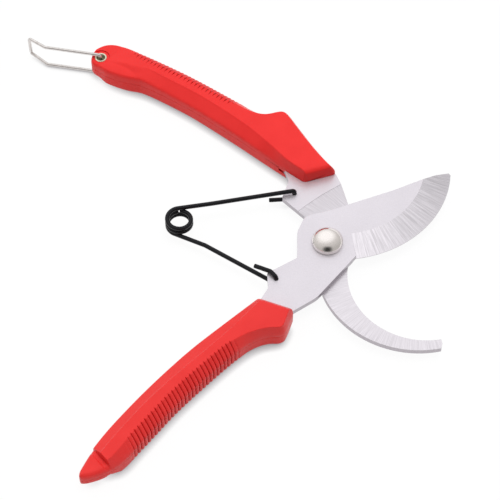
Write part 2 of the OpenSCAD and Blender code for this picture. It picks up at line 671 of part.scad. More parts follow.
counter_blade();
cutting_blade();
pivot_bolt();
pivot_washer();
pivot_nut();
hook_grip_upper();
hook_grip_lower();
hook_screw_front();
hook_screw_rear();
blade_grip_upper();
blade_grip_lower();
blade_screw_front();
blade_screw_rear();
spring_hook_leg();
spring_blade_leg();
bail_eyelet();
eyelet_back_ring();
lock_bail();
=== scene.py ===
"""Bypass pruning shears lying open on a white table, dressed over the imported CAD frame.

Sizes are millimetres and degrees. The shape tables are in each half's own frame: the pivot is
the origin, the handle points to -X, and the half is then turned about Z to where it lies.
"""
import json
import math

import bmesh
import bpy
import numpy as np
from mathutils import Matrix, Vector

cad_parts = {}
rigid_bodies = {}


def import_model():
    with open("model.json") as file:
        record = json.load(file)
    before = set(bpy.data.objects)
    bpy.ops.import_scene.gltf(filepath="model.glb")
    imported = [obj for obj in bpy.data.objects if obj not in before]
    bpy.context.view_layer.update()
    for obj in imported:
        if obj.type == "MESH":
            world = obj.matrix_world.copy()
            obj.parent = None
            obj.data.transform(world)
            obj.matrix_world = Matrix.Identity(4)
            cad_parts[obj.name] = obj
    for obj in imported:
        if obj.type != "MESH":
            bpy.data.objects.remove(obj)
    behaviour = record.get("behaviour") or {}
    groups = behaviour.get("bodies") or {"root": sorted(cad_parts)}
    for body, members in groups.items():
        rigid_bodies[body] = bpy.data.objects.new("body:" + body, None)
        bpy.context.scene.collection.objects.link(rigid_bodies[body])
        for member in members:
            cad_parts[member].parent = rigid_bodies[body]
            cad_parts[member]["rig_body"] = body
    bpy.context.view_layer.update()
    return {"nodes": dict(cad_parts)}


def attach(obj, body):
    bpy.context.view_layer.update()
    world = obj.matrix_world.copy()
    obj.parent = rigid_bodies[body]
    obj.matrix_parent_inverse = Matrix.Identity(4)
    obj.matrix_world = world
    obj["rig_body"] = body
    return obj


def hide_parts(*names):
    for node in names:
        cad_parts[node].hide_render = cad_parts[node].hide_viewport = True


MM = 0.001

# ---------- shared sizes ----------
HOOK_TURN = -38.5
BLADE_TURN = 41.5
GRIP_T = 13.0
PARTING = GRIP_T / 2
PLATE_T = 2.5
PLAY = 0.05
HOOK_UNDER = PARTING - PLATE_T
BLADE_TOP = PARTING + PLAY + PLATE_T
RIB_PITCH = 2.0

EYELET = (-141.8, 17.197)
EYELET_SEAT_D = 8.2
EYELET_D = 5.4
EYELET_BORE = 3.8
FLANGE_H = 0.4
END_CUT = 2.0
HOOK_LAND = GRIP_T - END_CUT

# The lines of a grip are (x, value) points. inner and outer are its outline. ledge is the width
# of the shelf beside its wall, and drop how far that lies below the face. crease_in and
# crease_out are how far the raised face stays from either side. ribs says where the grooves
# begin and how many there are. nose is a point of the slanting front edge, nose_angle its
# direction and lean how far the front leans back.
HOOK = {
    "turn": HOOK_TURN,
    "sign": 1,
    "reach": 146.6,
    "round": 6.5,
    "inner": [(-147, 11.1), (-144.9, 11.2), (-142.9, 11.7), (-140.3, 12.4), (-135.3, 12.5),
              (-132.2, 13.1), (-129.3, 13.9), (-126.5, 14.8), (-123.8, 15.9), (-121.3, 17.2),
              (-118.6, 18.2), (-112.3, 19.3), (-99.5, 20.7), (-89.4, 21.3), (-65, 21.2),
              (-54.9, 20.9), (-41.2, 20.6), (-16, 20.5)],
    "outer": [(-147, 27.2), (-143, 28.2), (-140, 29.2), (-136, 30.6), (-130, 31.8), (-124, 32.8),
              (-112, 34.4), (-104, 35.3), (-91, 36.2), (-76, 36.9), (-69, 37), (-65.2, 37.8),
              (-62, 39.6), (-60.9, 41.6), (-60.1, 43.1), (-59.3, 44.2), (-58.3, 45.1),
              (-57.1, 45.3), (-55.5, 44.9), (-53, 44.1), (-47, 41.7), (-34, 36.8),
              (-24, 33.8), (-16, 32.2)],
    "ledge": [(-147, 3), (-140, 4.2), (-131.5, 5.8), (-124.8, 3.8), (-119.3, 0.4), (-112, 0.1),
              (-16, 0.1)],
    "crease_in": [(-147, 5), (-140, 8.5), (-136, 9.6), (-132, 9.5), (-128, 8.6), (-123, 7),
                  (-117.2, 5.9), (-109, 5.3), (-79.6, 5.3), (-62.2, 4.8), (-49.6, 3.4),
                  (-39.8, 1.7), (-33.7, 1.4), (-16, 1.2)],
    "crease_out": [(-147, 3.2), (-136, 3.6), (-128, 4.4), (-76, 4.2), (-66, 3.6), (-60, 3),
                   (-54, 2.4), (-16, 2)],
    "drop": [(-147, 2), (-120, 2), (-112, 2.8), (-100, 3.5), (-70, 3.6), (-52, 4.2), (-41, 5.2),
             (-16, 5.6)],
    "ribs": (-134, 30),
    "nose": (-27.7, 21),
    "nose_angle": 56.4,
    "slant_from": -52,
    "lean": 8,
    "corner": 1.3,
    "rib_depth": 1.5,
    "lip": 0.28,
    "wall_round": 2.4,
    "nose_soft": 1.4,
    "nose_roll": 2.6,
    "rib_crest": 1.2,
    "crest_soft": 1.6,
    "end_roll": 2.0,
    "end_roll_x": (-141, -134),
}
BLADE = {
    "turn": BLADE_TURN,
    "sign": -1,
    "reach": 146,
    "round": 8,
    "inner": [(-146, -14.6), (-144.3, -14.3), (-142, -14), (-139, -13.2), (-136, -12.1),
              (-133, -11.1), (-127, -9.5), (-120.6, -8.1), (-106.9, -5.7), (-92.4, -3.8),
              (-77, -2.5), (-60, -2.4), (-30, -2.3)],
    "outer": [(-146, -20.6), (-142, -21.2), (-139, -21.9), (-135.6, -22.6), (-131.9, -23),
              (-127.7, -22.9), (-118.3, -21.4), (-108.6, -19.7), (-99, -18), (-89.7, -16.9),
              (-80.5, -16.1), (-71.3, -15.4), (-62.4, -15), (-58, -15), (-54.3, -15.6),
              (-50.8, -16.7), (-47.8, -18.3), (-45.6, -20.2), (-43.4, -21), (-41.5, -20.4),
              (-37.8, -18.4), (-30, -13.8)],
    "ledge": [(-146, 0.1), (-30, 0.1)],
    "crease_in": [(-146, 2), (-139, 3.5), (-134.9, 4.9), (-105, 5.1), (-78.5, 5.8), (-67.4, 5.4),
                  (-55, 4.2), (-42, 2.4), (-30, 2.2)],
    "crease_out": [(-146, 2), (-134, 2.2), (-128, 3.2), (-121.8, 3.6), (-106, 3.7), (-67, 3.4),
                   (-59, 2.3), (-52, 1.3), (-46, 1), (-30, 1.2)],
    "drop": [(-146, 3), (-80, 3), (-60, 2.4), (-30, 2.4)],
    "ribs": (-126, 33),
    "nose": (-40.2, -1.8),
    "nose_angle": -62.7,
    "slant_from": -56,
    "lean": 36,
    "corner": 1.8,
    "rib_depth": 1.05,
    "lip": 0.42,
    "wall_round": 1.4,
    "nose_soft": 1.2,
    "nose_roll": 2.2,
    "rib_crest": 0.0,
    "crest_soft": 0.6,
    "end_roll": 2.4,
    "end_roll_x": (-134.5, -124),
}

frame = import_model()
scene = bpy.context.scene


# ---------- camera ----------

camera_data = bpy.data.cameras.new("camera")
camera_data.lens = 119.95
camera_data.sensor_width = 36
camera = bpy.data.objects.new("camera", camera_data)
camera.location = (-0.0325, -0.4041, 0.5806)
camera.rotation_euler = (math.radians(35), 0, 0)
scene.collection.objects.link(camera)
scene.camera = camera


# ---------- small geometry helpers ----------

SHARP_ANGLE = 35
WIRE_SHARP_ANGLE = 50
WIRE_SIDES = 20
SAME_POINT = 1e-4  # points of a path that lie closer than this are one
ASIDE = (0.3, 0.5, 0.8)  # a direction that no wire starts in
END_MIDDLE = 0.3  # middle point of a wire's rounded end, as a share of the rounding
STRAIGHT = 89.9  # half the angle at which a corner counts as straight


def turned(points, angle):
    """Points (x, y, z) in a half's own frame, turned about Z to where the half lies."""
    c, s = math.cos(math.radians(angle)), math.sin(math.radians(angle))
    p = np.asarray(points, float)
    return np.column_stack([p[:, 0] * c - p[:, 1] * s, p[:, 0] * s + p[:, 1] * c, p[:, 2]])


def world_point(spot, turn):
    """The place (x, y) in the shared frame of a spot in a half's own frame."""
    return tuple(turned([(spot[0], spot[1], 0)], turn)[0][:2])


def line_height(line, x):
    """Height at x of a smooth line through points that run from low to high x."""
    xs = np.array([p[0] for p in line], float)
    ys = np.array([p[1] for p in line], float)
    up = np.append(np.arange(1, len(xs)), len(xs) - 1)
    low = np.append(0, np.arange(len(xs) - 1))
    slope = (ys[up] - ys[low]) / (xs[up] - xs[low])
    i = np.clip(np.searchsorted(xs, x, side="right") - 1, 0, len(xs) - 2)
    w = xs[i + 1] - xs[i]
    t = np.clip((x - xs[i]) / w, 0, 1)
    return (ys[i] * (1 + 2 * t) * (1 - t) ** 2 + ys[i + 1] * t * t * (3 - 2 * t)
            + w * slope[i] * t * (1 - t) ** 2 - w * slope[i + 1] * t * t * (1 - t))


def smooth_step(x, low, high):
    """0 up to low, 1 from high on, and a smooth rise between them."""
    t = np.clip((x - low) / (high - low), 0, 1)
    return t * t * (3 - 2 * t)


def soft_min(a, b, k):
    """The lower of a and b, with the crease between them rounded over k."""
    h = np.clip(0.5 + 0.5 * (b - a) / k, 0, 1)
    return b + (a - b) * h - k * h * (1 - h)


def skin(rings, sides, lids=True):
    """Faces that join rings of points one after another, with a lid on either end."""
    faces = []
    for i in range(rings - 1):
        for k in range(sides):
            j = (k + 1) % sides
            faces.append((i * sides + k, i * sides + j, (i + 1) * sides + j, (i + 1) * sides + k))
    if lids:
        faces.append(tuple(reversed(range(sides))))
        faces.append(tuple(range((rings - 1) * sides, rings * sides)))
    return faces


def outward_mesh(name, verts, faces):
    """A mesh from millimetre points, with all its faces turned outward."""
    mesh = bpy.data.meshes.new(name)
    mesh.from_pydata([tuple(v) for v in np.asarray(verts) * MM], [], faces)
    mesh.validate()
    bm = bmesh.new()
    bm.from_mesh(mesh)
    bmesh.ops.recalc_face_normals(bm, faces=bm.faces)
    bm.to_mesh(mesh)
    bm.free()
    return mesh


def finish_mesh(obj, mat=None, sharp_angle=SHARP_ANGLE):
    """Shades an object smooth, except over the edges that turn by more than an angle."""
    if mat:
        obj.data.materials.append(mat)
    obj.data.shade_smooth()
    obj.data.set_sharp_from_angle(angle=math.radians(sharp_angle))


def new_object(name, verts, faces, mat, body, sharp_angle=SHARP_ANGLE):
    """An object from millimetre points in the shared frame, riding on a body."""
    obj = bpy.data.objects.new(name, outward_mesh(name, verts, faces))
    scene.collection.objects.link(obj)
    finish_mesh(obj, mat, sharp_angle)
    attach(obj, body)
    return obj


def apply_modifiers(obj):
    """The object's own mesh is replaced by what its modifiers make of it."""
    bpy.context.view_layer.update()
    evaluated = obj.evaluated_get(bpy.context.evaluated_depsgraph_get())
    made = bpy.data.meshes.new_from_object(evaluated)
    obj.modifiers.clear()
    obj.data = made


def cylinder(center, radius, z0, z1, sides=64):
    """Closed cylinder for cutting, as points and faces in millimetres."""
    ring = [(center[0] + radius * math.cos(2 * math.pi * k / sides),
             center[1] + radius * math.sin(2 * math.pi * k / sides)) for k in range(sides)]
    verts = [(x, y, z0) for x, y in ring] + [(x, y, z1) for x, y in ring]
    return verts, skin(2, sides)


def block(low, high):
    """Closed box for cutting, between two of its corners, as points and faces."""
    verts = [(x, y, z) for x in (low[0], high[0]) for y in (low[1], high[1])
             for z in (low[2], high[2])]
    faces = [(0, 1, 3, 2), (4, 6, 7, 5), (0, 4, 5, 1), (2, 3, 7, 6), (0, 2, 6, 4), (1, 5, 7, 3)]
    return verts, faces


def cut(obj, shapes, turn):
    """Takes closed shapes, given in a half's own frame, out of an object."""
    for verts, faces in shapes:
        cutter = bpy.data.objects.new("cutter", outward_mesh("cutter", turned(verts, turn), faces))
        scene.collection.objects.link(cutter)
        modifier = obj.modifiers.new("cut", "BOOLEAN")
        modifier.operation = "DIFFERENCE"
        modifier.solver = "EXACT"
        modifier.object = cutter
        apply_modifiers(obj)
        bpy.data.objects.remove(cutter)


def lathe(name, profile, center, z, mat, body, sides):
    """Turns a profile of (radius, height) points about a vertical axis."""
    verts = []
    for r, h in profile:
        for k in range(sides):
            a = 2 * math.pi * k / sides
            verts.append((center[0] + r * math.cos(a), center[1] + r * math.sin(a), z + h))
    is_open = profile[0] != profile[-1]
    return new_object(name, verts, skin(len(profile), sides, lids=is_open), mat, body)


def tube(name, path, radius, mat, body, end_round=0.3):
    """Round wire along a path of points, with slightly rounded ends."""
    path = np.asarray(path, float)
    apart = np.linalg.norm(np.diff(path, axis=0), axis=1) > SAME_POINT
    path = path[np.append(True, apart)]
    t = np.vstack([path[1:], path[-1:]]) - np.vstack([path[:1], path[:-1]])
    t /= np.linalg.norm(t, axis=1)[:, None]
    angles = [2 * math.pi * k / WIRE_SIDES for k in range(WIRE_SIDES)]
    middle = END_MIDDLE * end_round
    start = [(0, radius - end_round), (middle, radius - middle), (end_round, radius)]
    steps = {0: start, len(path) - 1: [(-shift, r) for shift, r in reversed(start)]}
    normal = np.cross(t[0], ASIDE)
    rings = []
    for i, spot in enumerate(path):
        normal = normal - np.dot(normal, t[i]) * t[i]
        normal /= np.linalg.norm(normal)
        side = np.cross(t[i], normal)
        ring = np.array([normal * math.cos(a) + side * math.sin(a) for a in angles])
        for shift, r in steps.get(i, [(0, radius)]):
            rings.append(spot + shift * t[i] + r * ring)
    return new_object(name, np.concatenate(rings), skin(len(rings), WIRE_SIDES), mat, body,
                      WIRE_SHARP_ANGLE)


def bent(path, r, steps=12):
    """The path with a round bend of radius r at each inner point."""
    out = [np.array(path[0], float)]
    for a, b, c in zip(path[:-2], path[1:-1], path[2:]):
        a, b, c = (np.array(p, float) for p in (a, b, c))
        u = (a - b) / np.linalg.norm(a - b)
        v = (c - b) / np.linalg.norm(c - b)
        half = math.acos(float(np.clip(u @ v, -1, 1))) / 2
        if half > math.radians(STRAIGHT):
            out.append(b)
            continue
        o = b + (u + v) / np.linalg.norm(u + v) * r / math.sin(half)
        e = b + u * r / math.tan(half) - o
        e /= np.linalg.norm(e)
        sweep = math.pi - 2 * half
        for k in range(steps + 1):
            out.append(o + r * (e * math.cos(sweep * k / steps) - u * math.sin(sweep * k / steps)))
    out.append(np.array(path[-1], float))
    return out


# ---------- materials ----------

# painted shade in the grips' hollows: how near another surface has to be, and the span it darkens
# over
PAINTED_SHADE_REACH = 1.4
PAINTED_SHADE_SPAN = (0.34, 0.8)
LINE_SPAN = (0.34, 0.62)


def material(name, color, roughness, metallic=0.0):
    """A new material, with its nodes, its links and its shader."""
    m = bpy.data.materials.new(name)
    m.use_nodes = True
    shader = m.node_tree.nodes["Principled BSDF"]
    shader.inputs["Base Color"].default_value = (*color, 1)
    shader.inputs["Roughness"].default_value = roughness
    shader.inputs["Metallic"].default_value = metallic
    return m, m.node_tree.nodes, m.node_tree.links, shader


def srgb(*rgb):
    """Linear colour from 0-255 display values."""
    return tuple(v / 255 / 12.92 if v <= 10 else ((v / 255 + 0.055) / 1.055) ** 2.4 for v in rgb)


def noise(nodes, links, scale, detail, vector=None, rough=0.5):
    """Noise along a vector, or over the object's own coordinates."""
    n = nodes.new("ShaderNodeTexNoise")
    n.inputs["Scale"].default_value = scale
    n.inputs["Detail"].default_value = detail
    n.inputs["Roughness"].default_value = rough
    if vector is None:
        vector = nodes.new("ShaderNodeTexCoord").outputs["Object"]
    links.new(vector, n.inputs["Vector"])
    return n.outputs["Fac"]


def spread(nodes, links, value, low, high, from_low=0.3, from_high=0.7):
    """The value, mapped from its usual range to low..high."""
    n = nodes.new("ShaderNodeMapRange")
    n.inputs["From Min"].default_value = from_low
    n.inputs["From Max"].default_value = from_high
    n.inputs["To Min"].default_value = low
    n.inputs["To Max"].default_value = high
    links.new(value, n.inputs["Value"])
    return n.outputs["Result"]


def ramp(nodes, links, value, stops):
    """Colour that runs through (position, colour) stops with the value."""
    n = nodes.new("ShaderNodeValToRGB")
    first, last = n.color_ramp.elements[0], n.color_ramp.elements[-1]
    for element, (at, color) in ((first, stops[0]), (last, stops[-1])):
        element.position = at
        element.color = (*color, 1)
    for at, color in stops[1:-1]:
        n.color_ramp.elements.new(at).color = (*color, 1)
    links.new(value, n.inputs["Fac"])
    return n.outputs["Color"]


def dimmed(nodes, links, color, factor):
    """The colour times a factor."""
    n = nodes.new("ShaderNodeVectorMath")
    n.operation = "SCALE"
    links.new(color, n.inputs[0])
    links.new(factor, n.inputs["Scale"])
    return n.outputs[0]


def bump(nodes, links, shader, value, distance, strength):
    """Raises the shader's surface by the value."""
    n = nodes.new("ShaderNodeBump")
    n.inputs["Distance"].default_value = distance
    n.inputs["Strength"].default_value = strength
    links.new(value, n.inputs["Height"])
    links.new(n.outputs["Normal"], shader.inputs["Normal"])


def plastic(name, color, dark):
    """Moulded red plastic with a soft sheen, a faint mottling, a fine grain and painted shade in
    hollows.
    """
    m, nodes, links, shader = material(name, color, 0.34)
    mottling = noise(nodes, links, scale=90, detail=4)
    tone = ramp(nodes, links, mottling, [(0.3, dark), (0.7, color)])
    # painted shade: the colour turns a dark red where another surface is near, in the grooves,
    # creases and notches
    painted_shade = nodes.new("ShaderNodeAmbientOcclusion")
    painted_shade.inputs["Distance"].default_value = PAINTED_SHADE_REACH * MM
    painted_shade.samples = 8
    shaded = nodes.new("ShaderNodeMix")
    shaded.data_type = "RGBA"
    links.new(spread(nodes, links, painted_shade.outputs["AO"], 0, 1, *PAINTED_SHADE_SPAN),
              shaded.inputs["Factor"])
    shaded.inputs["A"].default_value = (*srgb(186, 10, 13), 1)
    links.new(tone, shaded.inputs["B"])
    links.new(shaded.outputs["Result"], shader.inputs["Base Color"])
    sheen = noise(nodes, links, scale=320, detail=3)
    links.new(spread(nodes, links, sheen, 0.3, 0.42), shader.inputs["Roughness"])
    grain = noise(nodes, links, scale=1400, detail=2)
    bump(nodes, links, shader, grain, distance=0.00004, strength=0.5)
    shader.inputs["Specular IOR Level"].default_value = 0.22
    return m


def polar(nodes, links, center, along, across):
    """Coordinates about a centre: the angle times along, the radius times across."""
    coord = nodes.new("ShaderNodeTexCoord").outputs["Object"]
    shifted = nodes.new("ShaderNodeVectorMath")
    shifted.operation = "SUBTRACT"
    shifted.inputs[1].default_value = (center[0] * MM, center[1] * MM, 0)
    links.new(coord, shifted.inputs[0])
    parts = nodes.new("ShaderNodeSeparateXYZ")
    links.new(shifted.outputs[0], parts.inputs[0])
    angle = nodes.new("ShaderNodeMath")
    angle.operation = "ARCTAN2"
    links.new(parts.outputs["Y"], angle.inputs[0])
    links.new(parts.outputs["X"], angle.inputs[1])
    flat = nodes.new("ShaderNodeCombineXYZ")
    links.new(parts.outputs["X"], flat.inputs["X"])
    links.new(parts.outputs["Y"], flat.inputs["Y"])
    radius = nodes.new("ShaderNodeVectorMath")
    radius.operation = "LENGTH"
    links.new(flat.outputs[0], radius.inputs[0])
    out = nodes.new("ShaderNodeCombineXYZ")
    for source, factor, axis in ((angle.outputs[0], along, "X"),
                                 (radius.outputs["Value"], across, "Y")):
        scaled = nodes.new("ShaderNodeMath")
        scaled.operation = "MULTIPLY"
        scaled.inputs[1].default_value = factor
        links.new(source, scaled.inputs[0])
        links.new(scaled.outputs[0], out.inputs[axis])
    return out.outputs[0], angle.outputs[0]


def ground_lines(nodes, links, color, grain):
    """Grinding lines about a centre: the lines, the light on them and how dark they are."""
    vector, angle = polar(nodes, links, grain["center"], grain["along"], grain["across"])
    lines = noise(nodes, links, 1.0, 3, vector, 0.75)
    turn = spread(nodes, links, angle, 0, 1, *grain["angles"])
    last = len(grain["tones"]) - 1
    light = ramp(nodes, links, turn, [(k / last, tuple(c * t for c in color))
                                      for k, t in enumerate(grain["tones"])])
    return lines, light, spread(nodes, links, lines, grain["dark"], 1.02, *LINE_SPAN)


def satin_grain(nodes, links, color):
    """Fine random grain: the grain, the light on it and how dark it is."""
    stretch = nodes.new("ShaderNodeMapping")
    stretch.inputs["Scale"].default_value = (1, 1, 0.2)
    links.new(nodes.new("ShaderNodeTexCoord").outputs["Object"], stretch.inputs["Vector"])
    lines = noise(nodes, links, 2400, 4, stretch.outputs[0], 0.7)
    clouds = noise(nodes, links, scale=45, detail=2)
    light = ramp(nodes, links, clouds, [(0.3, tuple(c * 0.96 for c in color)), (0.7, color)])
    return lines, light, spread(nodes, links, lines, 0.93, 1.03)


def steel(name, color, roughness, grain=None, metallic=1.0):
    """Satin steel with a fine random grain, or with grinding lines about a centre."""
    m, nodes, links, shader = material(name, color, roughness, metallic)
    if grain:
        lines, light, tone = ground_lines(nodes, links, color, grain)
    else:
        lines, light, tone = satin_grain(nodes, links, color)
    links.new(dimmed(nodes, links, light, tone), shader.inputs["Base Color"])
    links.new(spread(nodes, links, lines, roughness + 0.05, roughness - 0.05),
              shader.inputs["Roughness"])
    bump(nodes, links, shader, lines, distance=0.00003, strength=0.4)
    return m


def wire_finish(name, color, roughness, metallic, dark):
    """Drawn wire: fine lines and a worn tone."""
    m, nodes, links, shader = material(name, color, roughness, metallic)
    fine = noise(nodes, links, scale=700, detail=4)
    links.new(ramp(nodes, links, fine, [(0.3, dark), (0.7, color)]), shader.inputs["Base Color"])
    worn = noise(nodes, links, scale=260, detail=3)
    links.new(spread(nodes, links, worn, roughness - 0.06, roughness + 0.08),
              shader.inputs["Roughness"])
    bump(nodes, links, shader, fine, distance=0.00002, strength=0.4)
    return m


EDGE_CENTER = world_point((32, 28.8), BLADE_TURN)
HOOK_CENTER = world_point((36, 13), HOOK_TURN)
ALL_ROUND = (-3.1, 3.1)

# both grips are one red plastic; the blade grip's copy is a little darker and paler as painted
# light, for the different light that falls on it
red_hook = plastic("red_hook_grip", srgb(233, 46, 44), srgb(227, 42, 40))
red_blade = plastic("red_blade_grip", srgb(226, 51, 49), srgb(220, 46, 44))
plate_steel = steel("satin_steel", srgb(222, 217, 224), 0.38, metallic=0.55)
bevel_steel = steel("ground_bevel", srgb(236, 231, 237), 0.3,
                    {"center": EDGE_CENTER, "along": 90, "across": 60, "dark": 0.74,
                     "angles": (-1.45, -0.2), "tones": (1.08, 0.98, 0.85, 0.8, 0.72)})
hook_steel = steel("ground_hook", srgb(229, 224, 230), 0.34,
                   {"center": HOOK_CENTER, "along": 90, "across": 60, "dark": 0.84,
                    "angles": ALL_ROUND, "tones": (1.0, 1.0)})
rest_steel = steel("ground_rest", srgb(219, 214, 220), 0.34,
                   {"center": HOOK_CENTER, "along": 120, "across": 60, "dark": 0.8,
                    "angles": ALL_ROUND, "tones": (1.0, 1.0)})
# the plates' sheared walls are rougher, and their darker colour is painted shade; the broken edges'
# bright colour is a painted highlight
sheared_wall_painted_shade = steel("sheared_edge_painted_shade", srgb(190, 184, 190), 0.42)
edge_painted_highlight = steel("broken_edge_painted_highlight", srgb(246, 243, 246), 0.25)
nickel = steel("polished_nickel", srgb(247, 241, 238), 0.14)
zinc = steel("zinc_screws", srgb(200, 197, 196), 0.3)
black_wire = wire_finish("black_spring_wire", srgb(26, 26, 31), 0.3, 0.6, srgb(18, 18, 22))
silver_wire = wire_finish("bright_bail_wire", srgb(228, 223, 221), 0.16, 1.0, srgb(206, 200, 197))
eyelet_metal = wire_finish("pale_eyelet", srgb(232, 232, 208), 0.26, 0.6, srgb(206, 204, 178))


# ---------- grips ----------

HOOK_LAND_END = -138.0
HOOK_LAND_RAMP = 20.0
BLADE_STEP = -134.7
BLADE_END_CUT = 2.7
BLADE_END_SLOPE = 0.45
CATCH_W = 2.0
CATCH_DEPTH = 0.4
CATCH_SOFT = 0.15
NO_LIMIT = PARTING + 3
LIMITED_BELOW = PARTING + 1
LIMIT_SOFT = 0.3
NOSE_LEAN_FROM = 4.0
SEAM_H = 0.3  # heights this close to the parting plane stay as they are
MIN_ROLL = 1e-3

OUT_FALL = 5.3  # how far the outer side falls before it stands upright
FALL_WIDTHS = (0, 0.4, 0.95, 1)  # its curve's control points, as shares of the way
FALL_HEIGHTS = (0, 0.33, 0.7, 1)
BOTTOM_R = 2.8
CREASE_R = 0.45
VALLEY_R = 0.6
LIP_R = 0.22
LIP_SHARE = 0.9
SPLIT = 0.12  # broken edge along the parting plane
TIP_SHARE = 0.6
LEDGE_ROLL = 1.5
FOOT_ROLL = 0.6
WIDE_LEDGE = (0.6, 3)
HALF_WAY = 0.48  # a corner's rounding takes no more than this share of either side
TINY = 1e-9

RIB_FADE = 3
RIB_SHIFT = 0.25
RIB_SHARPNESS = 0.97
BORDER_STEP = 0.1
BORDER_REACH = 8
BORDER_MIN = 0.6

END_ANGLES = np.radians(np.linspace(3, 90, 30))
NOSE_ANGLES = np.radians(np.linspace(0, 90, 16))
RIB_SECTIONS = 12  # sections to a rib
END_GAP = 0.25  # distances between sections: at the end, where it is plain and at the nose
PLAIN_GAP = 0.5
NOSE_GAP = 0.2
NOSE_FROM = 5
NOSE_TIP = 1.5


def fillet(points, radii, steps):
    """A line across all the sections at once, with its inner corners rounded."""
    out = [points[0]]
    for i in range(1, len(points) - 1):
        a, b, c = points[i - 1], points[i], points[i + 1]
        if radii[i] == 0:
            out.append(b)
            continue
        p = toward(b, a, radii[i])
        q = toward(b, c, radii[i])
        for k in range(steps + 1):
            out.append(bezier([p, b, q], k / steps))
    out.append(points[-1])
    return out


def between(out, counts):
    """Adds evenly spaced points inside the named spans of a line."""
    dense = []
    for i, p in enumerate(out[:-1]):
        dense.append(p)
        for k in range(1, counts.get(i, 0)):
            dense.append(p + (out[i + 1] - p) * k / counts[i])
    dense.append(out[-1])
    return dense


def bezier(points, t):
    """A point on the Bezier curve of three or four control points."""
    while len(points) > 1:
        points = [a * (1 - t) + b * t for a, b in zip(points[:-1], points[1:])]
    return points[0]


def toward(a, b, reach):
    """The point that far from a on the way to b, but never past its middle."""
    length = np.linalg.norm(b - a, axis=-1, keepdims=True)
    return a + (b - a) / np.maximum(length, TINY) * np.minimum(reach, HALF_WAY * length)


def pair(w, h):
    """Points at widths w and heights h of all the sections."""
    return np.stack(np.broadcast_arrays(w, h), axis=-1)


def wall_to_slope(top, foot, crease, reach, steps=14):
    """Rounds the wall's upper edge into the ledge and the slope, or straight into the slope."""
    below = top - np.array([0, reach])
    leave = toward(foot, crease, reach)
    wide = smooth_step(np.linalg.norm(foot - top, axis=-1, keepdims=True), *WIDE_LEDGE)
    first = toward(top, foot, LEDGE_ROLL)
    second = toward(foot, top, FOOT_ROLL)
    third = toward(foot, crease, FOOT_ROLL)
    out = []
    for k in range(steps + 1):
        t = k / steps
        if t < 0.5:
            split = bezier([below, top, first], 2 * t)
        else:
            split = bezier([second, foot, third], 2 * t - 1)
        out.append(bezier([below, top, foot, leave], t) * (1 - wide) + split * wide)
    return out


def rib_depth(ribs, depth, x):
    """Depth of the grooves between the ribs at x; the last few at each end fade out."""
    u = (x - ribs[0]) / RIB_PITCH
    off_ridge = 2 * np.abs((u + RIB_SHIFT) % 1 - 0.5)
    fade = smooth_step(u, 0, RIB_FADE) * (1 - smooth_step(u, ribs[1] - RIB_FADE, ribs[1]))
    return depth * (1 - np.sqrt(1 - RIB_SHARPNESS * off_ridge ** 2)) * fade


def grip_stations(grip):
    """Where the sections across a grip lie: closer together at its ends and over the ribs."""
    far, first = -grip["reach"], grip["ribs"][0]
    last = first + RIB_PITCH * grip["ribs"][1]
    nose_x = grip["nose_x"]
    return np.concatenate([
        far + grip["round"] * (1 - np.cos(END_ANGLES)),
        np.arange(far + grip["round"] + END_GAP, first, END_GAP),
        np.arange(first, last, RIB_PITCH / RIB_SECTIONS),
        np.arange(last, nose_x - NOSE_FROM, PLAIN_GAP),
        np.arange(nose_x - NOSE_FROM, nose_x - NOSE_TIP, NOSE_GAP),
        nose_x - NOSE_TIP * np.cos(NOSE_ANGLES)])


def inset_along_y(grip, x):
    """Width along y of a soft border that keeps its distance from the outer line of a grip."""
    spots = np.arange(x.min() - BORDER_REACH, x.max() + BORDER_REACH, BORDER_STEP)
    heights = grip["sign"] * line_height(grip["outer"], spots)
    distance = line_height(grip["crease_out"], spots)
    away = np.abs(spots[:, None] - spots[None, :])
    reach = np.maximum(distance[:, None] ** 2 - away ** 2, 0)
    border = np.where(reach > 0, heights[None, :] - np.sqrt(reach), np.inf).min(axis=1)
    span = int(grip["crest_soft"] / BORDER_STEP)
    window = 2 * span + 1
    for _ in range(2):
        padded = np.pad(border, span, mode="edge")
        border = np.convolve(padded, np.ones(window) / window, mode="valid")
    outer = grip["sign"] * line_height(grip["outer"], x)
    return np.maximum(outer - np.interp(x, spots, border), BORDER_MIN)


def grip_plan(grip):
    """The sections across a grip: their ends, width, end rounding, groove depth and inset."""
    x0 = grip_stations(grip)
    slant = grip["slope"] * smooth_step(x0, grip["slant_from"], grip["nose_x"] - NOSE_TIP)
    full = np.clip((x0 + grip["reach"]) / grip["round"], 0, 1)
    full = np.sqrt(np.maximum(1 - (1 - full) ** 2, 1e-4))
    y0 = line_height(grip["inner"], x0)
    y1 = line_height(grip["outer"], x0)
    # settles where the sections, which slant toward the nose, meet the outer line
    for _ in range(40):
        x1 = x0 + slant * (y1 - y0)
        y1 = 0.5 * y1 + 0.5 * line_height(grip["outer"], x1)
    x1 = x0 + slant * (y1 - y0)
    mid, half = (y0 + y1) / 2, (y1 - y0) / 2
    ribs = rib_depth(grip["ribs"], grip["rib_depth"], x1)
    y0, y1 = mid - full * half, mid + full * half - grip["sign"] * ribs
    tip = np.clip((grip["nose_x"] - x0) / grip["corner"], 0, 1)
    inset = grip["corner"] * (1 - np.sqrt(1 - (1 - tip) ** 2))
    return {"x0": x0, "y0": y0, "x1": x1, "y1": y1, "width": np.abs(y1 - y0),
            "full": full, "ribs": ribs, "inset": inset}


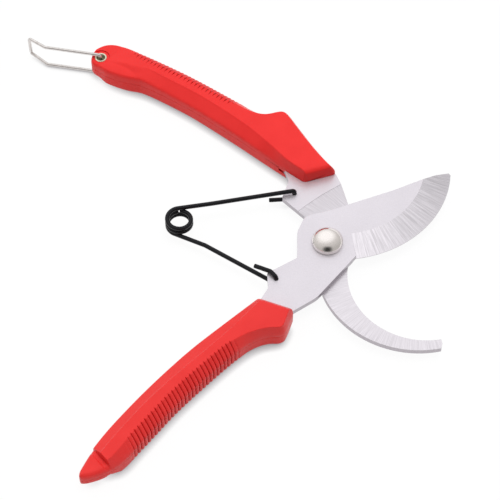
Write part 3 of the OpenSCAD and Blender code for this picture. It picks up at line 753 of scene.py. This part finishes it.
def upper_section(grip, plan):
    """The line across an upper half: wall, ledge, lip, raised face and the fall outside."""
    x0, full, width, inset = plan["x0"], plan["full"], plan["width"], plan["inset"]
    edge_in = full * line_height(grip["crease_in"], x0) + TIP_SHARE * inset
    edge_out = full * inset_along_y(grip, plan["x1"]) + grip["rib_crest"] * plan["ribs"]
    wall_top = PARTING - line_height(grip["drop"], x0)
    ledge = full * line_height(grip["ledge"], x0)
    lip = grip["lip"] * full
    valley = pair(edge_in - LIP_SHARE * lip, PARTING - lip)
    wall = wall_to_slope(pair(inset, wall_top), pair(inset + ledge, wall_top), valley,
                         grip["wall_round"])
    face = [valley, pair(edge_in, PARTING), pair(width - edge_out - TIP_SHARE * inset, PARTING)]
    fall = []
    for t in np.linspace(0, 1, 13)[1:]:
        out_share, down_share = bezier(FALL_WIDTHS, t), bezier(FALL_HEIGHTS, t)
        fall.append(pair(width - edge_out * (1 - out_share) - inset,
                         PARTING - OUT_FALL * down_share))
    line = [pair(inset + SPLIT, 0), pair(inset, SPLIT)] + wall + face + fall
    line += [pair(width - inset, SPLIT), pair(width - inset - SPLIT, 0)]
    at = len(wall) + 1
    radii = [0] * (at + 1) + [VALLEY_R, LIP_R, CREASE_R] + [0] * (len(fall) + 2)
    line = fillet(line, radii, 5)
    # more points up the wall, down to the valley, over the face and down the outer side
    return between(line, {1: 4, at: 6, at + 12: 10, len(line) - 3: 3})


def lower_section(plan):
    """The line across a lower half: two upright sides and a flat bottom."""
    width, inset = plan["width"], plan["inset"]
    line = [pair(inset + SPLIT, 0), pair(inset, SPLIT), pair(inset, PARTING),
            pair(width - inset, PARTING), pair(width - inset, SPLIT),
            pair(width - inset - SPLIT, 0)]
    line = fillet(line, [0, 0, BOTTOM_R, BOTTOM_R, 0, 0], 9)
    line = between(line, {1: 4, 11: 11, 21: 4})
    return [np.stack([np.clip(p[:, 0], 0, None), p[:, 1]], -1) for p in line]


def end_height(grip, x, top):
    """How far from the parting plane the end of a grip may reach at x."""
    if grip is HOOK:
        land = PARTING - END_CUT
        ramp_up = land + (x - HOOK_LAND_END) * END_CUT / HOOK_LAND_RAMP
        return np.where(x < HOOK_LAND_END, land, ramp_up)
    land = PARTING - BLADE_END_CUT
    catch_at = BLADE_STEP - CATCH_W
    catch = CATCH_DEPTH * smooth_step(x, catch_at - CATCH_SOFT, catch_at + CATCH_SOFT)
    beyond = NO_LIMIT if top else land + (x - BLADE_STEP) * BLADE_END_SLOPE
    return np.where(x < BLADE_STEP, land - catch, beyond)


def lowered(h, to):
    """Heights replaced by lower ones, except close to the parting plane."""
    return np.where(h > SEAM_H, np.maximum(to, SEAM_H), h)


def shaped_ends(grip, x, y, h, inside, top):
    """Heights of a half grip, brought down by the steps and the roll of its end and by its nose."""
    limit = end_height(grip, x, top)
    h = np.where(limit < LIMITED_BELOW, soft_min(h, limit, LIMIT_SOFT), h)
    roll = grip["end_roll"] * (1 - smooth_step(x, *grip["end_roll_x"])) + MIN_ROLL
    dip = roll - np.sqrt(np.maximum(roll ** 2 - np.maximum(roll - inside, 0) ** 2, 0))
    h = lowered(h, np.minimum(h, np.minimum(limit, PARTING) - dip))
    angle = math.radians(grip["nose_angle"])
    behind = np.maximum(((grip["nose"][0] - x) * math.sin(angle)
                         - (grip["nose"][1] - y) * math.cos(angle)) * grip["sign"], 0)
    front = PARTING - NOSE_LEAN_FROM + behind / math.tan(math.radians(grip["lean"]))
    h = lowered(h, soft_min(h, front, grip["nose_soft"]))
    nose_roll = grip["nose_roll"]
    near = np.clip(nose_roll - behind, 0, None)
    rolled = PARTING - nose_roll + np.sqrt(np.maximum(nose_roll ** 2 - near ** 2, 0))
    return lowered(h, np.minimum(h, rolled))


def grip_half(name, grip, top, mat, body):
    """The upper or the lower half of a grip, as a skin over the sections across it."""
    plan = grip_plan(grip)
    grid = np.stack(upper_section(grip, plan) if top else lower_section(plan), axis=1)
    across, h = grid[:, :, 0], grid[:, :, 1]
    width = plan["width"][:, None]
    share = across / np.maximum(width, 1e-6)
    x = plan["x0"][:, None] + (plan["x1"] - plan["x0"])[:, None] * share
    y = plan["y0"][:, None] + (plan["y1"] - plan["y0"])[:, None] * share
    h = shaped_ends(grip, x, y, h, np.minimum(across, width - across), top)
    z = PARTING + h if top else PARTING - h
    verts = turned(np.stack([x, y, z], -1).reshape(-1, 3), grip["turn"])
    return new_object(name, verts, skin(*x.shape), mat, body)


for grip in (HOOK, BLADE):
    grip["slope"] = 1 / math.tan(math.radians(grip["nose_angle"]))
    y_nose = line_height(grip["inner"], np.array([grip["nose"][0]]))[0]
    grip["nose_x"] = grip["nose"][0] + (y_nose - grip["nose"][1]) * grip["slope"]

HOOK_SCREWS = [(-62, 29.5), (-112, 26)]
BLADE_SCREWS = [(-58, -8.8), (-108, -12.9)]
SCREW_SEAT = 2.4
SCREW_SEAT_R = 2.9
BEYOND = 1  # how far a cutting shape stands out of what it cuts
EYELET_COVER = 0.3
TANG_FIT = 0.1
SLOT_LOW = (-42, 18, HOOK_UNDER - TANG_FIT)
SLOT_HIGH = (-36, 23, PARTING + BEYOND)


def grip_cuts(grip, top, screws):
    """What is cut from a half grip: the screws' seats, the eyelet's hole and the tang's slot."""
    shapes = [cylinder(spot, SCREW_SEAT_R, -BEYOND, SCREW_SEAT) for spot in screws]
    if grip is HOOK:
        sunk = (HOOK_LAND - FLANGE_H, GRIP_T + BEYOND) if top else (-BEYOND, END_CUT + FLANGE_H)
        shapes.append(cylinder(EYELET, EYELET_D / 2 - EYELET_COVER, -BEYOND, GRIP_T + BEYOND))
        shapes.append(cylinder(EYELET, EYELET_SEAT_D / 2, *sunk))
        if not top:
            shapes.append(block(SLOT_LOW, SLOT_HIGH))
    return shapes


for part, grip, top, mat, body, screws in (
        ("hook_grip_upper", HOOK, True, red_hook, "hook_half", []),
        ("hook_grip_lower", HOOK, False, red_hook, "hook_half", HOOK_SCREWS),
        ("blade_grip_upper", BLADE, True, red_blade, "blade_half", []),
        ("blade_grip_lower", BLADE, False, red_blade, "blade_half", BLADE_SCREWS)):
    shell = grip_half(part + "_shell", grip, top, mat, body)
    shapes = grip_cuts(grip, top, screws)
    if shapes:
        cut(shell, shapes, grip["turn"])
        finish_mesh(shell)
    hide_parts(part)


# ---------- metal pieces that keep their CAD shape, with broken edges ----------

WELD = 0.002
FLAT_ANGLE = 0.4
BREAK_ANGLE = 30
PLATE_BREAK = 0.26
SMALL_BREAK = 0.12
WASHER_BREAK = 0.1
PLATE, GROUND, SHADED_WALL, HIGHLIT_EDGE, REST = range(5)  # places in a blade's list of materials
WALL_BELOW = 0.4  # a face is a wall, a broken edge or tilted by how far its normal points up
EDGE_BELOW = 0.93
BEVEL_TILT = (0.95, 0.995)
BEVEL_FROM = 38.0  # distance from EDGE_CENTER
FACES_UP = 0.97
REST_DROP = 0.08
JAW_FROM = -12


def refined(node, mats, width, choose=None):
    """The node's shape with its flat faces joined up and its edges broken by a small round."""
    source = frame["nodes"][node]
    obj = bpy.data.objects.new(node + "_finished", source.data.copy())
    scene.collection.objects.link(obj)
    obj.data.materials.clear()
    bm = bmesh.new()
    bm.from_mesh(obj.data)
    bmesh.ops.remove_doubles(bm, verts=bm.verts, dist=WELD * MM)
    bmesh.ops.dissolve_limit(bm, angle_limit=math.radians(FLAT_ANGLE), verts=bm.verts,
                             edges=bm.edges)
    bm.to_mesh(obj.data)
    bm.free()
    if "custom_normal" in obj.data.attributes:
        obj.data.attributes.remove(obj.data.attributes["custom_normal"])
    edge = obj.modifiers.new("edge", "BEVEL")
    edge.width = width * MM
    edge.segments = 2
    edge.limit_method = "ANGLE"
    edge.angle_limit = math.radians(BREAK_ANGLE)
    edge.use_clamp_overlap = True
    edge.harden_normals = True
    finish_mesh(obj, sharp_angle=BREAK_ANGLE)
    apply_modifiers(obj)
    # a round may leave a corner a few micrometres below the plane that the tool lies on
    for vertex in obj.data.vertices:
        vertex.co.z = max(vertex.co.z, 0)
    for m in mats:
        obj.data.materials.append(m)
    if choose:
        for face in obj.data.polygons:
            face.material_index = choose(face)
    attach(obj, source["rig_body"])
    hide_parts(node)
    return obj


def edge_face(face):
    """Walls carry painted shade, darker than the faces, and the broken edges a painted highlight.
    """
    level = abs(face.normal.z)
    return SHADED_WALL if level < WALL_BELOW else HIGHLIT_EDGE if level < EDGE_BELOW else PLATE


def blade_face(face):
    """The ground bevel is the one tilted face on the upper side of the cutting blade."""
    near = Vector((face.center.x / MM - EDGE_CENTER[0], face.center.y / MM - EDGE_CENTER[1])).length
    bevel = BEVEL_TILT[0] < face.normal.z < BEVEL_TILT[1] and near > BEVEL_FROM
    return GROUND if bevel else edge_face(face)


def hook_face(face):
    """The jaw is ground across, and so is the lower stretch that the cutting blade passes."""
    along = Vector(face.center[:2]) @ Vector(world_point((1, 0), HOOK_TURN))
    if face.normal.z > FACES_UP and face.center.z / MM < PARTING - REST_DROP:
        return REST
    return GROUND if face.normal.z > FACES_UP and along > JAW_FROM * MM else edge_face(face)


refined("cutting_blade", [plate_steel, bevel_steel, sheared_wall_painted_shade, edge_painted_highlight],
                PLATE_BREAK, blade_face)
refined("counter_blade", [plate_steel, hook_steel, sheared_wall_painted_shade, edge_painted_highlight, rest_steel],
                PLATE_BREAK, hook_face)
refined("pivot_washer", [nickel], WASHER_BREAK)
refined("pivot_nut", [nickel], SMALL_BREAK)
for node in ("hook_screw_front", "hook_screw_rear", "blade_screw_front", "blade_screw_rear"):
    refined(node, [zinc], SMALL_BREAK)


# ---------- pivot bolt ----------

HEAD_R = 6.5
HEAD_RIM = 2.2
RIM_DROP = 0.35
CAP_H = 3.55
EDGE_ROLL = 0.6
UNDER_ROLL = 0.3
UNDER_SOFT = 0.08
SHANK_R = 4.0
SHOULDER = 0.4
INTO_HEAD = 0.2
THREAD_R = 3.0
THREAD_CHAMFER = 0.5
THREAD_PITCH = 0.7
THREAD_TURNS = 6
THREAD_CREST = (0.02, 0.45)  # depth below the thread's radius, and height of the first one
THREAD_ROOT = (0.35, 0.8)
AXIS_R = 0.01
TOP_ANGLE = 0.002

seat = BLADE_TOP + PLAY
cap_r = (HEAD_R ** 2 + CAP_H ** 2) / (2 * CAP_H)
edge_angle = math.degrees(math.asin(HEAD_R / cap_r))
dome = [(HEAD_R - EDGE_ROLL + EDGE_ROLL * math.cos(a),
         HEAD_RIM - RIM_DROP + EDGE_ROLL * math.sin(a))
        for a in np.radians(np.linspace(0, 90 - edge_angle, 12))]
start = math.asin(dome[-1][0] / cap_r)
dome += [(cap_r * math.sin(a), dome[-1][1] + cap_r * (math.cos(a) - math.cos(start)))
         for a in np.linspace(start, TOP_ANGLE, 48)[1:]]
under = [(SHANK_R, 0), (HEAD_R - UNDER_ROLL, 0), (HEAD_R - UNDER_SOFT, UNDER_SOFT),
         (HEAD_R, UNDER_ROLL)]
bolt = lathe("pivot_head", under + dome, (0, 0), seat, nickel, "hook_half", 128)
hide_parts("pivot_bolt")

thread = [(AXIS_R, 0.0), (THREAD_R - THREAD_CHAMFER, 0.0)]
for i in range(THREAD_TURNS):
    for depth, height in (THREAD_CREST, THREAD_ROOT):
        thread.append((THREAD_R - depth, height + i * THREAD_PITCH))
thread += [(THREAD_R, HOOK_UNDER + SHOULDER), (SHANK_R, HOOK_UNDER + SHOULDER),
           (SHANK_R, seat + INTO_HEAD)]
shank = lathe("pivot_shank", thread, (0, 0), 0, nickel, "hook_half", 64)


# ---------- eyelet and bail ----------

TUBE_WALL = 0.35
UPPER_FOOT = -5.0
LOWER_FOOT = -4.2
BAIL_R = 0.748
BAIL_LEG = 26
BAIL_TIP = 10
BAIL_SWING = 208
BAIL_KINK = 28
BAIL_TAPER = 0.9
BUTT_GAP = 0.1

center = world_point(EYELET, HOOK_TURN)
bore = EYELET_BORE / 2
roll_r = (EYELET_D / 2 - bore) / 2


def flange_profile(sign, foot):
    """Rolled flange: a rounded ring that turns over from the bore to its outer edge."""
    line = [(bore, foot)]
    line += [(bore + roll_r - roll_r * math.cos(a), -FLANGE_H + FLANGE_H * math.sin(a))
             for a in np.radians(np.linspace(0, 180, 17))]
    line += [(bore + TUBE_WALL, -FLANGE_H), (bore + TUBE_WALL, foot), (bore, foot)]
    return [(r, sign * h) for r, h in line]


def offset(spot, length, angle):
    """The spot moved by a length in the direction of an angle."""
    return (spot[0] + length * math.cos(math.radians(angle)),
            spot[1] + length * math.sin(math.radians(angle)))


upper_ring = lathe("eyelet_upper", flange_profile(1, UPPER_FOOT), center, HOOK_LAND, eyelet_metal,
                   "hook_half", 64)
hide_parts("bail_eyelet")
lower_ring = lathe("eyelet_lower", flange_profile(-1, LOWER_FOOT), center, END_CUT, eyelet_metal,
                   "hook_half", 64)
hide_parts("eyelet_back_ring")

elbow = offset(EYELET, BAIL_LEG, BAIL_SWING)
tip = offset(elbow, BAIL_TIP, BAIL_SWING - BAIL_KINK)
low_tip = BAIL_R + BAIL_TAPER
low = 0.75
high = GRIP_T - low
route = [(*tip, low_tip), (*elbow, low), (*EYELET, low), (*EYELET, high), (*elbow, high),
         (*tip, high - BAIL_TAPER), (*tip, low_tip + BAIL_R + BUTT_GAP)]
path = turned(bent(route, 2 * BAIL_R), HOOK_TURN)
bail = tube("lock_bail_wire", path, BAIL_R, silver_wire, "bail", end_round=0.12)
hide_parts("lock_bail")


# ---------- spring ----------

WIRE = 1.9
COIL_R = (12 - WIRE) / 2
COIL_GAP = 0.3
COIL_TOP = PARTING + 2.5
COIL_TURNS = 3
COIL_START = 6  # degrees from the end of a leg to the coil's next point
COIL_STEP = 5
LEG_LEN = 51.5
TAIL_LEN = 11
HOOK_TAIL = 184
BLADE_TAIL = (130, 157)
PITCH = WIRE + PLAY
PART_TURN = 350  # turn of the coil at which it is parted
PART_GAP = 3
WIND_UP = 42  # how far closing the pair winds the coil up
STEP_DOWN = WIRE + COIL_GAP - PITCH * (1 - WIND_UP / 360)
LEG_GAP = 0.3
LEG_RISE = 0.8
BEND_R = WIRE / 2 + LEG_GAP - PLAY
KINK_AT = 0.69  # where each leg kinks, as a share of its length
HOOK_KINK = 3.5
BLADE_KINK = 2.55
hook_pin = np.array(world_point((-27.6, 13.3), HOOK_TURN))
blade_pin = np.array(world_point((-28.4, 0.6), BLADE_TURN))
gap = blade_pin - hook_pin
coil_c = ((hook_pin + blade_pin) / 2 + np.array([gap[1], -gap[0]]) / np.linalg.norm(gap)
          * math.sqrt(LEG_LEN ** 2 - gap @ gap / 4))


def kink(pin, off, way):
    """Where a leg kinks, a little off the line from its pin to the coil's centre."""
    u = (coil_c - pin) / np.linalg.norm(coil_c - pin)
    return pin + u * LEG_LEN * KINK_AT + way * off * np.array([u[1], -u[0]])


def touch(p, way):
    """Angle at which a straight line from a point touches the coil."""
    d = p - coil_c
    return math.degrees(math.atan2(d[1], d[0])) + way * math.degrees(
        math.acos(COIL_R / np.linalg.norm(d)))


hook_bend = kink(hook_pin, HOOK_KINK, 1)
blade_bend = kink(blade_pin, BLADE_KINK, -1)
coil_from = touch(hook_bend, 1)
coil_to = touch(blade_bend, -1) + 360 * COIL_TURNS


def coil_point(turn, down):
    """A point of the coil after a turn in degrees, set down by a distance."""
    p = offset(coil_c, COIL_R, coil_from + turn)
    return (*p, COIL_TOP - turn / 360 * PITCH - down)


def coil_part(a, b, down):
    """The points of the coil from turn a to turn b."""
    steps = math.ceil((b - a) / COIL_STEP)
    return [coil_point(a + (b - a) * i / steps, down) for i in range(steps + 1)]


tail_z = HOOK_UNDER - LEG_GAP - WIRE / 2
leg_z = PARTING + LEG_GAP + LEG_RISE + WIRE / 2
tail = offset(hook_pin, TAIL_LEN, HOOK_TAIL)
hook_leg = bent([(*tail, tail_z), (*hook_pin, tail_z), (*hook_pin, leg_z), (*hook_bend, leg_z),
                 coil_point(0, 0)], BEND_R)
coil = coil_part(COIL_START, PART_TURN - PART_GAP, 0)
wire = tube("spring_wire_hook", hook_leg + coil, WIRE / 2, black_wire, "spring_hook_side")
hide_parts("spring_hook_leg")

tail_z = BLADE_TOP + LEG_GAP + WIRE / 2
leg_z = PARTING + PLAY - LEG_GAP - WIRE / 2
elbow = offset(blade_pin, TAIL_LEN / 3, BLADE_TAIL[0])
tail = offset(elbow, TAIL_LEN * 2 / 3, BLADE_TAIL[1])
last = coil_to - coil_from
blade_leg = bent([(*tail, tail_z), (*elbow, tail_z), (*blade_pin, tail_z), (*blade_pin, leg_z),
                  (*blade_bend, leg_z), coil_point(last, STEP_DOWN)], BEND_R)
coil = coil_part(PART_TURN + PART_GAP, last - COIL_START, STEP_DOWN)
wire = tube("spring_wire_blade", blade_leg + coil[::-1], WIRE / 2, black_wire,
            "spring_blade_side")
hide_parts("spring_blade_leg")


# ---------- floor with its painted shadow, and light ---

FLOOR = 6.0
FLOOR_Z = -0.0001
LIGHT_FROM = (-0.15, 0.5, 0.85)
SHADE_FROM = (-0.1, 0.75, 0.7)
DARK_FROM = [(-0.2, -0.87, 0.46), (0, -0.89, 0.46), (0.2, -0.87, 0.46)]
SHADE_REACH = 4.5
SHADE_STOPS = [(0.14, (0.30, 0.29, 0.30)), (0.46, (0.68, 0.67, 0.68)), (0.74, (1.0, 1.0, 1.0))]
LIGHT_STOPS = [(0.15, (0.42, 0.41, 0.40)), (0.50, (0.46, 0.45, 0.44)), (0.76, (0.62, 0.61, 0.60)),
               (0.93, (0.98, 0.98, 0.98)), (1.0, (1.0, 1.0, 1.0))]
DARK_TO = 0.35
DARK_SPAN = (0.985, 0.92)


def mix_by_ray(nodes, links, plain, shown, output):
    """Shows one shader to the camera, reflections and glass, and the other to bounced light."""
    rays = nodes.new("ShaderNodeLightPath")
    mirror = nodes.new("ShaderNodeMath")
    mirror.operation = "MAXIMUM"
    links.new(rays.outputs["Is Glossy Ray"], mirror.inputs[0])
    links.new(rays.outputs["Is Transmission Ray"], mirror.inputs[1])
    either = nodes.new("ShaderNodeMath")
    either.operation = "MAXIMUM"
    links.new(rays.outputs["Is Camera Ray"], either.inputs[0])
    links.new(mirror.outputs[0], either.inputs[1])
    mix = nodes.new("ShaderNodeMixShader")
    links.new(either.outputs[0], mix.inputs["Fac"])
    links.new(plain, mix.inputs[1])
    links.new(shown, mix.inputs[2])
    links.new(mix.outputs[0], output)


def toward_direction(nodes, links, direction):
    """Cosine between the direction looked in and a given one."""
    dot = nodes.new("ShaderNodeVectorMath")
    dot.operation = "DOT_PRODUCT"
    dot.inputs[1].default_value = Vector(direction).normalized()
    links.new(nodes.new("ShaderNodeTexCoord").outputs["Generated"], dot.inputs[0])
    return dot.outputs["Value"]


corners = [(-FLOOR, -FLOOR), (FLOOR, -FLOOR), (FLOOR, FLOOR), (-FLOOR, FLOOR)]
floor_mesh = bpy.data.meshes.new("floor")
floor_mesh.from_pydata([(x, y, FLOOR_Z) for x, y in corners], [], [(0, 1, 2, 3)])
floor = bpy.data.objects.new("floor", floor_mesh)
scene.collection.objects.link(floor)
floor_mat, nodes, links, shader = material("white_floor", (0.8, 0.8, 0.8), 1.0)
shader.inputs["Specular IOR Level"].default_value = 0.0
# painted shadow: the floor as the camera sees it is 93 parts glow, darkened by a ramp wherever the
# shears stand close above it toward where the light comes from, and 7 parts white that the lamps
# really shade
painted_shadow = nodes.new("ShaderNodeAmbientOcclusion")
painted_shadow.inputs["Distance"].default_value = SHADE_REACH * MM
painted_shadow.samples = 16
leaning = nodes.new("ShaderNodeCombineXYZ")
for axis, value in zip("XYZ", Vector(SHADE_FROM).normalized()):
    leaning.inputs[axis].default_value = value
links.new(leaning.outputs[0], painted_shadow.inputs["Normal"])
glow = nodes.new("ShaderNodeEmission")
links.new(ramp(nodes, links, painted_shadow.outputs["AO"], SHADE_STOPS), glow.inputs["Color"])
white = nodes.new("ShaderNodeBsdfDiffuse")
white.inputs["Color"].default_value = (1, 1, 1, 1)
as_seen = nodes.new("ShaderNodeMixShader")
as_seen.inputs["Fac"].default_value = 0.93
links.new(white.outputs[0], as_seen.inputs[1])
links.new(glow.outputs[0], as_seen.inputs[2])
mix_by_ray(nodes, links, shader.outputs[0], as_seen.outputs[0],
           nodes["Material Output"].inputs["Surface"])
floor_mesh.materials.append(floor_mat)

world = bpy.data.worlds.new("studio")
scene.world = world
world.use_nodes = True
nodes, links = world.node_tree.nodes, world.node_tree.links
background = nodes["Background"]
facing = spread(nodes, links, toward_direction(nodes, links, LIGHT_FROM), 0, 1, -1, 1)
light = ramp(nodes, links, facing, LIGHT_STOPS)
for direction in DARK_FROM:
    facing = toward_direction(nodes, links, direction)
    light = dimmed(nodes, links, light, spread(nodes, links, facing, DARK_TO, 1, *DARK_SPAN))
links.new(light, background.inputs["Color"])
background.inputs["Strength"].default_value = 1.12
seen = nodes.new("ShaderNodeBackground")
seen.inputs["Color"].default_value = (1, 1, 1, 1)
seen.inputs["Strength"].default_value = 1.0
rays = nodes.new("ShaderNodeLightPath")
mix = nodes.new("ShaderNodeMixShader")
links.new(rays.outputs["Is Camera Ray"], mix.inputs["Fac"])
links.new(background.outputs[0], mix.inputs[1])
links.new(seen.outputs[0], mix.inputs[2])
links.new(mix.outputs[0], nodes["World Output"].inputs["Surface"])

sun_data = bpy.data.lights.new("key", "SUN")
sun_data.energy = 1.15
sun_data.angle = math.radians(30)
sun = bpy.data.objects.new("key", sun_data)
sun.rotation_euler = (math.radians(-4), math.radians(8), 0)
sun.visible_glossy = False
scene.collection.objects.link(sun)

scene.view_settings.view_transform = "Standard"
